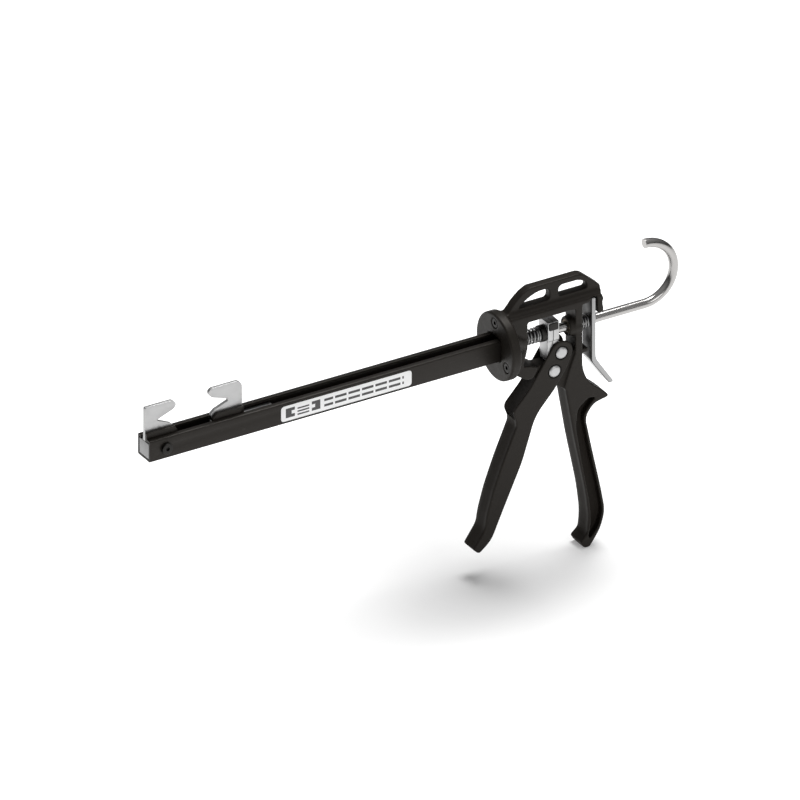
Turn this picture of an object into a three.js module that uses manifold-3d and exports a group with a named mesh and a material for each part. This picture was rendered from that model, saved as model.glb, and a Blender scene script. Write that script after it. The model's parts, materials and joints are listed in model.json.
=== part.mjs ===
// Ratchet hook gun: a caulking-gun pistol that pushes a rod down a slotted square tube.
// A fixed hook plate stands in the far end of the tube and the rod pushes a second hook plate to it.
//
// Work frame, in millimetres: X runs along the rod towards the handle end, Z is up, and Y = 0 is the
// plane of symmetry. X = 0 is the front face of the round flange and Z = 0 the axis of the rod.
// The last group moves this frame so that the origin lies under the middle of the whole tool.

import * as THREE from 'three';
import { mergeVertices } from 'three/addons/utils/BufferGeometryUtils.js';
import Module from 'manifold-3d';

// ---------------------------------------------------------------- driving dimensions

const GAP = 0.3; // clearance between pieces that touch
const REACH = 60; // half length of a cutter that goes right through

const TOOL_FRONT = -325.7; // front end of the tube
const HANDLE_BOTTOM = -203.3;

const TUBE = { side: 19.05, wall: 2, slot: 9.25, corner: 1.5, rear: 5 - GAP };
const TUBE_TOP = TUBE.side / 2;

const FLANGE = { radius: 29.2, adapterDepth: 5, castRear: 9, edge: 1 };
const FLANGE_SCREW = {
  pitchRadius: 21.5, angles: [90, 210, 330], headRadius: 4.2, headDepth: 2.6, shankRadius: 2, socket: 2,
};
const SCREW_SEAT = 3.2; // depth of the recess for a flange screw's head

const ROD = { radius: 3.97, frontEnd: -231.5, hookStart: 139, hookRadius: 27.5, sides: 16 };
const TOOL_MIDDLE_X = (TOOL_FRONT + ROD.hookStart + ROD.hookRadius + ROD.radius) / 2;

const BODY_HALF = 8.5; // half width of the casting and its handle
const FIN_HALF = 4; // half width of the hanging fin
const LEDGE_HALF = 6; // half width of the step between body and fin
const CORE_HALF = 6.4; // half width where the trigger straddles the casting

const BUSH = { outer: 6, inner: 4.25 };
const WINDOW = { front: 26.2, rear: 70.8, top: 18.1 };
const COLUMN_REAR = 77.4;
const REAR_BOSS = { from: 66, shoulder: 71, frontRadius: 8, radius: 9 };
const STOP_LUG = { rear: 82.2, bottom: -23.6, top: -20 };
const SET_SCREW = { x: 20.4, z: -6.4, radius: 1.5, inner: -7.2, socket: 0.8 };

const PIVOT = { x: 51.3, z: -33.2 }; // lower rivet, on which the trigger turns
const PUSHER = { x: 57.7, z: -18.1 }; // upper rivet, which carries the roller
const RIVET = { radius: 3, headRadius: 5.1, headHeight: 1.6, seatRadius: 6.2, seatDepth: 0.7 };
const ROLLER_RADIUS = 6.6;

const TRIGGER = { half: 8.25, inner: 6.75, headRadius: 10.8, webTop: -68.5, wall: 2 };

const PLATE = { half: 7.3, footHalf: 6.4, shoulder: -5, top: 11.6, holeRadius: 4.4 };
const FRONT_PLATE = { from: 45.6, to: 50.4, foot: -24.2 };
const REAR_PLATE = { from: 50.8, to: 55.8, foot: -9.5 };
const COLLAR = { from: 40.9, to: 45.2, radius: 7 };

const DRIVE_SPRING = { from: 26.6, to: 40.6, coilRadius: 5.6, wire: 0.75, turns: 4.5 };
const RELEASE_SPRING = { from: 77.8, to: 85.7, coilRadius: 5.6, wire: 0.6, turns: 3 };

const LEVER = { front: 86, thickness: 4, half: 7.5, top: 23.5, bend: -33.8, tabDrop: 25.6, tabRun: 17 };

const HOOK_HALF = 1.5; // half thickness of the two hook plates
const CHEEK = { outer: -4.6, inner: -1.8, top: 14.8 }; // black cheek plates on the near side
const HOOK_ROOT = -4.7; // lower edge of the plates inside their blocks
const BLOCK_HALF = 7.2;
const END_WALL = 2.5; // closed front end of the fixed hook's block
const ANCHOR_REAR = -297;
const ANCHOR_TOP = 6.4;
const ANCHOR_SCREW = { x: -310.4, z: 0, radius: 2.5, headRadius: 4.75, headHeight: 2.4 };

const SLIDE = { front: -262, rear: -205.3, half: 6.4, top: 4.8, slotRear: -235 };
const ROD_PIN = { x: -218, z: 0, radius: 1.6 };
const HOOK_PIN = { x: -249, z: 1, radius: 2 };
const BLOCK_SLOT_FLOOR = HOOK_ROOT - GAP;

// ---------------------------------------------------------------- finishes

const finish = (color, roughness, metalness) => new THREE.MeshStandardMaterial({ color, roughness, metalness });

const BLACK_PAINT = finish(0x35322f, 0.5, 0.1);
const BLACK_STEEL = finish(0x2a2826, 0.45, 0.6);
const SILVER = finish(0xc4c4c6, 0.32, 0.9);
const CHROME = finish(0xd8dadc, 0.12, 1);
const LIGHT_ALLOY = finish(0xb9bab8, 0.45, 0.8);
const BRONZE = finish(0x9a7b4a, 0.5, 0.8);
const LABEL_WHITE = finish(0xf2f2ef, 0.6, 0);

// ---------------------------------------------------------------- solids

const wasm = await Module();
wasm.setup();

function toSolid(geometry) {
  geometry.deleteAttribute('normal');
  geometry.deleteAttribute('uv');
  const merged = mergeVertices(geometry, 1e-4);
  const vertProperties = new Float32Array(merged.attributes.position.array);
  const triVerts = new Uint32Array(merged.index.array);
  return new wasm.Manifold(new wasm.Mesh({ numProp: 3, vertProperties, triVerts }));
}

function toGeometry(solid) {
  const { vertProperties, triVerts } = solid.getMesh();
  const geometry = new THREE.BufferGeometry();
  geometry.setAttribute('position', new THREE.BufferAttribute(vertProperties, 3));
  geometry.setIndex(new THREE.BufferAttribute(triVerts, 1));
  const flat = geometry.toNonIndexed();
  flat.computeVertexNormals();
  return flat;
}

const join = (first, ...others) => others.reduce((sum, solid) => sum.add(solid), first);
const cut = (first, ...others) => others.reduce((rest, solid) => rest.subtract(solid), first);

// Axes of an extrusion: where its outline's x and y and its depth point.
const ALONG_Y = new THREE.Matrix4().makeBasis(
  new THREE.Vector3(1, 0, 0),
  new THREE.Vector3(0, 0, 1),
  new THREE.Vector3(0, -1, 0),
);
const ALONG_X = new THREE.Matrix4().makeBasis(
  new THREE.Vector3(0, 1, 0),
  new THREE.Vector3(0, 0, 1),
  new THREE.Vector3(1, 0, 0),
);

// An outline from corners [x, y, round]: round is how far back from the corner its curve starts,
// kept under half of the shorter side.
function outline(corners) {
  const shape = new THREE.Shape();
  const toward = ([x, y], [tx, ty], round) => {
    const side = Math.hypot(tx - x, ty - y);
    return [x + ((tx - x) * round) / side, y + ((ty - y) * round) / side];
  };
  const side = ([x, y], [tx, ty]) => Math.hypot(tx - x, ty - y);
  corners.forEach((corner, i) => {
    const [x, y, wanted = 0] = corner;
    const before = corners.at(i - 1);
    const after = corners[(i + 1) % corners.length];
    const round = Math.min(wanted, 0.45 * side(corner, before), 0.45 * side(corner, after));
    const start = toward(corner, before, round);
    if (i === 0) shape.moveTo(...start);
    else shape.lineTo(...start);
    if (round > 0) shape.quadraticCurveTo(x, y, ...toward(corner, after, round));
  });
  shape.closePath();
  return shape;
}

// A plate whose outline lies in X and Z, from y0 to y1, with an optional bevel on its rim.
function plateY(shape, y0, y1, bevel = 0, curveSegments = 4) {
  const geometry = new THREE.ExtrudeGeometry(shape, {
    depth: y1 - y0 - 2 * bevel,
    curveSegments,
    bevelEnabled: bevel > 0,
    bevelThickness: bevel,
    bevelSize: bevel,
    bevelOffset: -bevel,
    bevelSegments: 2,
  });
  geometry.applyMatrix4(ALONG_Y);
  geometry.translate(0, y1 - bevel, 0);
  return toSolid(geometry);
}

// A bar whose outline lies in Y and Z, from x0 to x1.
function barX(shape, x0, x1, curveSegments = 4) {
  const geometry = new THREE.ExtrudeGeometry(shape, { depth: x1 - x0, curveSegments, bevelEnabled: false });
  geometry.applyMatrix4(ALONG_X);
  geometry.translate(x0, 0, 0);
  return toSolid(geometry);
}

function box(x0, x1, y0, y1, z0, z1) {
  const geometry = new THREE.BoxGeometry(x1 - x0, y1 - y0, z1 - z0);
  geometry.translate((x0 + x1) / 2, (y0 + y1) / 2, (z0 + z1) / 2);
  return toSolid(geometry);
}

function roundX(radius, x0, x1, { y = 0, z = 0, sides = 24 } = {}) {
  const geometry = new THREE.CylinderGeometry(radius, radius, x1 - x0, sides);
  geometry.rotateZ(-Math.PI / 2);
  geometry.translate((x0 + x1) / 2, y, z);
  return toSolid(geometry);
}

function roundY(radius, y0, y1, { x = 0, z = 0, sides = 24 } = {}) {
  const geometry = new THREE.CylinderGeometry(radius, radius, y1 - y0, sides);
  geometry.translate(x, (y0 + y1) / 2, z);
  return toSolid(geometry);
}

// A turned piece round the X axis from [radius, x] points that start and end on the axis.
function turnedX(profile, sides = 32) {
  const geometry = new THREE.LatheGeometry(profile.map(([r, x]) => new THREE.Vector2(r, x)), sides);
  geometry.rotateZ(-Math.PI / 2);
  return toSolid(geometry);
}

// A turned piece round an axis along Y through (x, z).
function turnedY(profile, { x, z }, sides = 24) {
  const geometry = new THREE.LatheGeometry(profile.map(([r, y]) => new THREE.Vector2(r, y)), sides);
  geometry.translate(x, 0, z);
  return toSolid(geometry);
}

class Helix extends THREE.Curve {
  constructor({ from, to, coilRadius, turns }) {
    super();
    Object.assign(this, { from, to, coilRadius, turns });
  }

  getPoint(t) {
    const angle = t * this.turns * 2 * Math.PI;
    const x = this.from + (this.to - this.from) * t;
    return new THREE.Vector3(x, this.coilRadius * Math.sin(angle), this.coilRadius * Math.cos(angle));
  }
}

function coilSpring({ from, to, coilRadius, wire, turns }) {
  const section = new THREE.Shape().absarc(0, 0, wire, 0, 2 * Math.PI);
  const path = new Helix({ from: from + wire, to: to - wire, coilRadius, turns });
  const steps = Math.round(turns * 12);
  return toSolid(new THREE.ExtrudeGeometry(section, { steps, curveSegments: 3, extrudePath: path }));
}

const HEX_SIDES = 6;

// ---------------------------------------------------------------- pistol casting

// Concave neck between the flange and the body, as [radius, x].
const NECK_PROFILE = [
  [0, 8], [26.6, 8], [26, 9.4], [20.5, 10.6], [16.4, 12.8], [13.2, 16], [11, 19.8], [9.8, 24], [9.6, 25],
  [0, 25],
];

const FIN_CORNERS = [
  [8.5, 10], [8.5, 27], [16.8, 37.1, 5], [23.9, 43.4, 2], [30.5, 46.7, 1.5], [79, 46.7, 4], [96.8, 31.2, 5],
  [95.4, 24.6, 1.6], [97, 20.9, 1.4], [95.8, 18.6, 1], [96.7, 11.5, 1], [96.3, 8.9, 1],
  [91.2, 8.9, 1], [91.2, 24.6, 1.5], [85.4, 24.6, 1.5], [84.6, 21, 1], [COLUMN_REAR, 20.6],
  [COLUMN_REAR, 10],
];

const HANDLE_CORNERS = [
  [8.5, -25.4], [8.5, 12], [COLUMN_REAR, 12], [COLUMN_REAR, -38, 6], [82.5, -51.3, 6], [95, -61.9, 5],
  [103, -70, 4], [88, -72.8, 5], [80, -83, 8], [85, -108, 6], [94.5, -152, 10], [98.4, -174, 10],
  [94, -189, 6], [84, HANDLE_BOTTOM, 3], [79, HANDLE_BOTTOM, 2], [74.8, -196.8, 1.4], [81.6, -190.6, 2.4],
  [83, -176, 10], [80, -150.7, 10], [69.8, -100.7, 6], [61.6, -53, 2], [50, -45, 4], [40, -40.5, 4],
  [32.5, -34.6, 2], [25, -34.4, 4], [15, -26.8, 3],
];

const WINDOW_CORNERS = [
  [WINDOW.front, WINDOW.top, 1.5], [WINDOW.rear, WINDOW.top, 1.5], [WINDOW.rear, -18, 2], [66, -25.2, 3],
  [36, -25.2], [30, -22.4, 3], [22, -20.8, 1.5], [WINDOW.front, -6, 4],
];

// Where the trigger's cheeks sweep, the casting is thinned to its core.
const SWEEP_CORNERS = [
  [36.6, -10], [36.6, -22], [35.6, -26], [33, -31], [28, -38], [28, -70], [54, -70], [60, -56.5],
  [60.6, -50], [65, -36], [WINDOW.rear, -21], [WINDOW.rear, -10],
];

const HANDLE_POCKET_CORNERS = [
  [72.8, -74, 3], [82, -66.5, 2], [90, -67.2, 2], [86.5, -70, 3], [77.5, -81, 6], [82.4, -108, 6],
  [91.9, -152, 10], [95.8, -174, 8], [91.8, -187, 5], [84, -196, 3], [82.6, -193, 2], [84.9, -182, 6],
  [84.2, -165, 8], [76.2, -122, 8], [71, -90, 6],
];

const POCKET_FLOOR = 2.4; // half thickness of the web left in the handle's pocket

const HANG_SLOTS = [
  [[19, 30.8, 1.5], [49.4, 31.2, 3], [49.4, 41.4, 4.5], [36.5, 41.4, 6], [26, 36, 3]],
  [[57.4, 31.8, 3], [84.5, 31.8, 3], [83.5, 37.5, 3.5], [77, 41.4, 6], [57.4, 41.4, 4.5]],
];

function bodySection() {
  const side = (s) => [
    [s * BODY_HALF, 0], [s * BODY_HALF, 24.2, 0.8], [s * LEDGE_HALF, 25.6, 1], [s * LEDGE_HALF, 27.6, 0.6],
    [s * FIN_HALF, 29.4, 1.2], [s * FIN_HALF, 47.2, 1],
  ];
  return outline([...side(1), ...side(-1).reverse()]);
}

function bothSides(shape, inner, outer) {
  return join(plateY(shape, inner, outer), plateY(shape, -outer, -inner));
}

function pistolFrame() {
  const upper = barX(bodySection(), 0, 110).intersect(plateY(outline(FIN_CORNERS), -REACH, REACH));
  const lower = plateY(outline(HANDLE_CORNERS), -BODY_HALF, BODY_HALF, 1);
  const flange = turnedX([
    [0, FLANGE.adapterDepth + GAP], [FLANGE.radius, FLANGE.adapterDepth + GAP],
    [FLANGE.radius, FLANGE.castRear - FLANGE.edge], [FLANGE.radius - FLANGE.edge, FLANGE.castRear],
    [0, FLANGE.castRear],
  ], 64);
  const neck = turnedX(NECK_PROFILE, 64).intersect(box(0, WINDOW.front, -REACH, REACH, -25.4, 24.2));
  const stopLug = box(COLUMN_REAR - 1, STOP_LUG.rear, -BODY_HALF, BODY_HALF, STOP_LUG.bottom, STOP_LUG.top);
  const windowCut = plateY(outline(WINDOW_CORNERS), -REACH, REACH);
  const rearBoss = turnedX([
    [0, REAR_BOSS.from], [REAR_BOSS.frontRadius, REAR_BOSS.from], [REAR_BOSS.radius, REAR_BOSS.shoulder],
    [REAR_BOSS.radius, COLUMN_REAR], [0, COLUMN_REAR],
  ]);
  const boreOfRod = roundX(BUSH.outer + GAP, -REACH, COLUMN_REAR + 5);
  const shell = cut(
    join(upper, lower, flange, neck, stopLug),
    windowCut,
    bothSides(outline(SWEEP_CORNERS), CORE_HALF, REACH),
    bothSides(outline(HANDLE_POCKET_CORNERS), POCKET_FLOOR, REACH),
    ...HANG_SLOTS.map((corners) => plateY(outline(corners), -REACH, REACH)),
  );
  return cut(
    join(shell, rearBoss),
    boreOfRod,
    roundY(RIVET.radius + GAP, -REACH, REACH, PIVOT),
    ...FLANGE_SCREW.angles.map((angle) => roundX(FLANGE_SCREW.shankRadius + GAP, 0, 20, onFlange(angle))),
    roundY(SET_SCREW.radius + GAP, -REACH, SET_SCREW.inner + GAP, SET_SCREW),
  );
}

function frameSetScrew() {
  return cut(
    roundY(SET_SCREW.radius, -BODY_HALF, SET_SCREW.inner, { ...SET_SCREW, sides: 16 }),
    roundY(SET_SCREW.socket, -BODY_HALF - 1, -BODY_HALF + 0.8, { ...SET_SCREW, sides: HEX_SIDES }),
  );
}

function bush(x0, x1) {
  return cut(roundX(BUSH.outer, x0, x1), roundX(BUSH.inner, x0 - 1, x1 + 1));
}

// ---------------------------------------------------------------- flange and its screws

function onFlange(degrees) {
  const angle = THREE.MathUtils.degToRad(degrees);
  return { y: FLANGE_SCREW.pitchRadius * Math.cos(angle), z: FLANGE_SCREW.pitchRadius * Math.sin(angle) };
}

function adapterFlange() {
  const disc = turnedX([
    [0, 0], [FLANGE.radius - FLANGE.edge, 0], [FLANGE.radius, FLANGE.edge],
    [FLANGE.radius, FLANGE.adapterDepth], [0, FLANGE.adapterDepth],
  ], 64);
  const half = TUBE_TOP + GAP;
  const screwHoles = FLANGE_SCREW.angles.flatMap((angle) => [
    roundX(FLANGE_SCREW.headRadius + GAP, -1, SCREW_SEAT, onFlange(angle)),
    roundX(FLANGE_SCREW.shankRadius + GAP, -1, 20, onFlange(angle)),
  ]);
  return cut(disc, box(-1, 20, -half, half, -half, half), ...screwHoles);
}

function flangeScrew(angle) {
  const seat = SCREW_SEAT - GAP;
  const place = { ...onFlange(angle), sides: 16 };
  const body = join(
    roundX(FLANGE_SCREW.headRadius, seat - FLANGE_SCREW.headDepth, seat, { ...place, sides: 20 }),
    roundX(FLANGE_SCREW.shankRadius, seat - 1, FLANGE.castRear - 0.5, place),
  );
  return cut(body, roundX(FLANGE_SCREW.socket, -1, seat - 1, { ...place, sides: HEX_SIDES }));
}

// ---------------------------------------------------------------- tube and label

function slottedTube() {
  const half = TUBE_TOP;
  const inner = half - TUBE.wall;
  const lip = TUBE.slot / 2;
  const section = outline([
    [lip, half], [half, half, TUBE.corner], [half, -half, TUBE.corner], [-half, -half, TUBE.corner],
    [-half, half, TUBE.corner], [-lip, half], [-lip, inner], [-inner, inner], [-inner, -inner],
    [inner, -inner], [inner, inner], [lip, inner],
  ]);
  const nearHole = roundY(ANCHOR_SCREW.radius + GAP, -REACH, 0, ANCHOR_SCREW);
  return cut(barX(section, TOOL_FRONT, TUBE.rear), nearHole);
}

function tubeLabel() {
  const face = -TUBE_TOP - 0.1;
  return plateY(outline([[-204, -6.9, 3], [-82.7, -6.9, 3], [-82.7, 6.9, 3], [-204, 6.9, 3]]), face - 0.3, face);
}

// ---------------------------------------------------------------- fixed hook at the front of the tube

// A block that fills the tube's inside, with a slot for a hook plate and its cheek.
function hookBlock(x0, x1, half, top, slotFrom, slotTo) {
  const body = box(x0, x1, -half, half, -BLOCK_HALF, top);
  return cut(body, box(slotFrom, slotTo, CHEEK.outer - GAP, HOOK_HALF + GAP, BLOCK_SLOT_FLOOR, REACH));
}

const screwHole = () => roundY(ANCHOR_SCREW.radius + GAP, -REACH, REACH, ANCHOR_SCREW);

function anchorBlock() {
  const slotFrom = TOOL_FRONT + END_WALL;
  const block = hookBlock(TOOL_FRONT, ANCHOR_REAR, BLOCK_HALF, ANCHOR_TOP, slotFrom, ANCHOR_REAR + 1);
  return cut(block, screwHole());
}

// The front plates stand behind the block's end wall and step over it.
const hookFoot = () => [
  [TOOL_FRONT + END_WALL + GAP, HOOK_ROOT], [TOOL_FRONT + END_WALL + GAP, ANCHOR_TOP + GAP],
  [TOOL_FRONT, ANCHOR_TOP + GAP],
];

function frontHook() {
  const shape = outline([
    ...hookFoot(), [TOOL_FRONT, 37, 1.5], [-299.5, 37, 2.5], [-296.3, 32.6, 2], [-298.6, 28.9, 2.5],
    [-315, 22.8, 1.6], [-301.4, 16.6, 1], [-299, 13], [-299, HOOK_ROOT],
  ]);
  return cut(plateY(shape, -HOOK_HALF, HOOK_HALF), screwHole());
}

function frontHookCheek() {
  const shape = outline([
    ...hookFoot(), [TOOL_FRONT, CHEEK.top, 0.8], [-299.5, CHEEK.top, 1], [-297, 11, 2.5],
    [-297, 6, 2], [-299, 3], [-299, HOOK_ROOT],
  ]);
  return cut(plateY(shape, CHEEK.outer, CHEEK.inner), screwHole());
}

function anchorScrew() {
  const face = -TUBE_TOP - 0.1;
  const { radius, headRadius, headHeight } = ANCHOR_SCREW;
  const body = turnedY([
    [0, face - headHeight], [headRadius - 2, face - headHeight], [headRadius - 0.6, face - headHeight + 0.9],
    [headRadius, face - 0.7], [headRadius, face], [radius, face], [radius, 6], [0, 6],
  ], ANCHOR_SCREW);
  const socket = { x: ANCHOR_SCREW.x, z: ANCHOR_SCREW.z, sides: HEX_SIDES };
  return cut(body, roundY(1.6, face - 5, face - headHeight + 1.5, socket));
}

// ---------------------------------------------------------------- rod, slide block and moving hook

class HookArc extends THREE.Curve {
  getPoint(t) {
    const angle = t * Math.PI;
    const x = ROD.hookStart + ROD.hookRadius * Math.sin(angle);
    return new THREE.Vector3(x, 0, ROD.hookRadius * (1 - Math.cos(angle)));
  }
}

const pinHole = (pin) => roundY(pin.radius + GAP, -REACH, REACH, pin);
const crossPin = (pin) => roundY(pin.radius, -SLIDE.half, SLIDE.half, { ...pin, sides: 16 });

function pushRod() {
  const section = new THREE.Shape().absarc(0, 0, ROD.radius, 0, 2 * Math.PI);
  const hook = toSolid(new THREE.ExtrudeGeometry(section, {
    steps: 22,
    curveSegments: ROD.sides / 2,
    extrudePath: new HookArc(),
  }));
  const straight = roundX(ROD.radius, ROD.frontEnd, ROD.hookStart + 0.4, { sides: ROD.sides });
  return cut(join(straight, hook), pinHole(ROD_PIN));
}

function slideBlock() {
  return cut(
    hookBlock(SLIDE.front, SLIDE.rear, SLIDE.half, SLIDE.top, SLIDE.front - 1, SLIDE.slotRear),
    roundX(ROD.radius + GAP, ROD.frontEnd - 0.5, SLIDE.rear + 1, { sides: ROD.sides }),
    pinHole(ROD_PIN),
    pinHole(HOOK_PIN),
  );
}

function movingHook() {
  const rear = SLIDE.slotRear - GAP;
  const shape = outline([
    [rear, HOOK_ROOT], [rear, 33.5, 2], [-238.6, 37.3, 2.5], [-264.5, 37.3, 2.5], [-267.2, 33.4, 2],
    [-263.5, 29, 1.5], [-248.6, 24, 0.6], [-248.6, 21.9, 0.6], [-261, 17.2, 1], [-265, 13.6, 1.4],
    [-262.5, 9, 1], [SLIDE.front + GAP, HOOK_ROOT],
  ]);
  return cut(plateY(shape, -HOOK_HALF, HOOK_HALF), pinHole(HOOK_PIN));
}

function movingHookCheek() {
  const rear = SLIDE.slotRear - GAP;
  const shape = outline([
    [rear, HOOK_ROOT], [rear, CHEEK.top, 0.8], [-261, CHEEK.top, 1.5], [-265, 10.2, 2.5],
    [-262.8, 7.4, 1], [SLIDE.front + GAP, HOOK_ROOT],
  ]);
  return cut(plateY(shape, CHEEK.outer, CHEEK.inner), pinHole(HOOK_PIN));
}

// ---------------------------------------------------------------- trigger and its rivets

const TRIGGER_FRONT = [
  [15.8, -70, 2], [15.9, -74, 3], [2.9, -104.2, 6], [-6, -128, 6], [-11.6, -148.2, 6], [-13.4, -160, 4],
  [-24.2, -175.8, 1],
];
const TRIGGER_REAR = [
  [-18.8, -181.2, 3], [-7, -171.5, 6], [1.4, -152.3, 6], [21.6, -107.8, 6], [32.4, -74, 6], [37.4, -65.6, 4],
  [51.8, -49.7, 2.5], [63, -33, 4],
];

function triggerLever() {
  const head = new THREE.Shape().absarc(PUSHER.x, PUSHER.z, TRIGGER.headRadius, 0, 2 * Math.PI);
  const arms = outline([
    [50, -10.4], [28, -43, 4], [13.8, -58.4, 2.5], [12.9, -62.4, 2],
    ...TRIGGER_FRONT, ...TRIGGER_REAR, [67.2, -23.2],
  ]);
  // The channel's inside: the front line moved back by one wall, and everything behind it.
  const inside = outline([
    ...TRIGGER_FRONT.map(([x, z, round]) => [x + TRIGGER.wall, z, round]), [20, -190], [90, -190], [90, 5],
    [0, 5], [0, TRIGGER.webTop], [15.8, TRIGGER.webTop],
  ]);
  const whole = join(
    plateY(arms, -TRIGGER.half, TRIGGER.half, 1),
    plateY(head, -TRIGGER.half, TRIGGER.half, 1.2, 14),
  );
  return cut(
    whole,
    plateY(inside, -TRIGGER.inner, TRIGGER.inner),
    ...[PIVOT, PUSHER].map((place) => join(roundY(RIVET.radius + GAP, -REACH, REACH, place), rivetSeats(place))),
  );
}

// Shallow round recesses on both cheeks, in which a rivet's heads sit.
function rivetSeats(place) {
  const floor = TRIGGER.half - RIVET.seatDepth;
  return join(roundY(RIVET.seatRadius, floor, REACH, place), roundY(RIVET.seatRadius, -REACH, -floor, place));
}

// A rivet through both cheeks, with a domed head on each side.
function rivet(place) {
  const seat = TRIGGER.half - RIVET.seatDepth + 0.15;
  const tip = seat + RIVET.headHeight;
  const head = RIVET.headRadius;
  return turnedY([
    [0, -tip], [head - 1.6, -tip], [head - 0.5, -tip + 0.5], [head, -seat - 0.6], [head, -seat],
    [RIVET.radius, -seat], [RIVET.radius, seat], [head, seat], [head, seat + 0.6], [head - 0.5, tip - 0.5],
    [head - 1.6, tip], [0, tip],
  ], place);
}

function pusherRoller() {
  const half = TRIGGER.inner - GAP;
  return cut(roundY(ROLLER_RADIUS, -half, half, PUSHER), roundY(RIVET.radius + GAP, -REACH, REACH, PUSHER));
}

// ---------------------------------------------------------------- drive plates, collar and springs

const rodHole = (radius) => roundX(radius, -REACH, 2 * REACH);

function drivePlate({ from, to, foot }) {
  const { half, footHalf, shoulder, top, holeRadius } = PLATE;
  const side = (s) => [
    [s * half, top, 1.5], [s * half, shoulder], [s * footHalf, shoulder - 1], [s * footHalf, foot, 1],
  ];
  const shape = outline([...side(1), ...side(-1).reverse()]);
  return cut(barX(shape, from, to), rodHole(holeRadius));
}

const springCollar = () => cut(roundX(COLLAR.radius, COLLAR.from, COLLAR.to), rodHole(PLATE.holeRadius));

function plateClip() {
  const near = -PLATE.half - 0.1;
  const shape = outline([[46.4, 4.8, 0.8], [54.6, 4.8, 0.8], [54.6, 11.1, 0.8], [46.4, 11.1, 0.8]]);
  return plateY(shape, near - 1.2, near);
}

// ---------------------------------------------------------------- release lever

function releaseLever() {
  const { front, thickness, half, top, bend, tabDrop, tabRun } = LEVER;
  const rear = front + thickness;
  const side = outline([
    [front, top, 1], [front, bend - 1, 4], [front + tabRun, bend - tabDrop, 1.6],
    [rear + tabRun - 0.4, bend - tabDrop + 1.5, 1.6], [rear, bend + 1, 4], [rear, top, 1.6],
  ]);
  return cut(plateY(side, -half, half, 0.6), rodHole(4.6));
}

// ---------------------------------------------------------------- the tool

const group = new THREE.Group();
const tool = new THREE.Group();
tool.position.set(-TOOL_MIDDLE_X, 0, -HANDLE_BOTTOM);
group.add(tool);

function add(name, solid, material) {
  const mesh = new THREE.Mesh(toGeometry(solid), material);
  mesh.name = name;
  tool.add(mesh);
}

add('pistol_frame', pistolFrame(), BLACK_PAINT);
add('frame_set_screw', frameSetScrew(), BLACK_STEEL);
add('front_bush', bush(FLANGE.adapterDepth + 1, WINDOW.front - 0.4), BRONZE);
add('rear_bush', bush(66.4, COLUMN_REAR - 0.2), BRONZE);
add('adapter_flange', adapterFlange(), BLACK_PAINT);
FLANGE_SCREW.angles.forEach((angle, i) => add(`flange_screw_${i + 1}`, flangeScrew(angle), BLACK_STEEL));
add('slotted_tube', slottedTube(), BLACK_PAINT);
add('tube_label', tubeLabel(), LABEL_WHITE);

add('anchor_block', anchorBlock(), LIGHT_ALLOY);
add('front_hook', frontHook(), SILVER);
add('front_hook_cheek', frontHookCheek(), BLACK_PAINT);
add('anchor_screw', anchorScrew(), BLACK_STEEL);

add('push_rod', pushRod(), CHROME);
add('slide_block', slideBlock(), LIGHT_ALLOY);
add('rod_end_pin', crossPin(ROD_PIN), SILVER);
add('moving_hook', movingHook(), SILVER);
add('moving_hook_cheek', movingHookCheek(), BLACK_PAINT);
add('moving_hook_pin', crossPin(HOOK_PIN), SILVER);

add('trigger', triggerLever(), BLACK_PAINT);
add('pivot_rivet', rivet(PIVOT), SILVER);
add('pusher_rivet', rivet(PUSHER), SILVER);
add('pusher_roller', pusherRoller(), SILVER);

add('drive_plate_front', drivePlate(FRONT_PLATE), SILVER);
add('drive_plate_rear', drivePlate(REAR_PLATE), SILVER);
add('plate_clip', plateClip(), BLACK_STEEL);
add('spring_collar', springCollar(), BLACK_STEEL);
add('drive_spring', coilSpring(DRIVE_SPRING), BLACK_STEEL);
add('release_lever', releaseLever(), SILVER);
add('release_spring', coilSpring(RELEASE_SPRING), BLACK_STEEL);

export default group;
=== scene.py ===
# %% [markdown]
# A ratchet hook gun: a cast pistol grip, a long square tube with a slot along its top, and a polished rod
# that pushes a hook plate towards a fixed one. The frame below is the engineered model, with every piece in
# place and every joint known. The cells after it give each piece its softened edges and its finish, so the
# measures always come from the frame and never from a guess.

# %% Load the engineered frame
import bmesh
import bpy
import json
import math
from mathutils import Matrix, Vector


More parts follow.
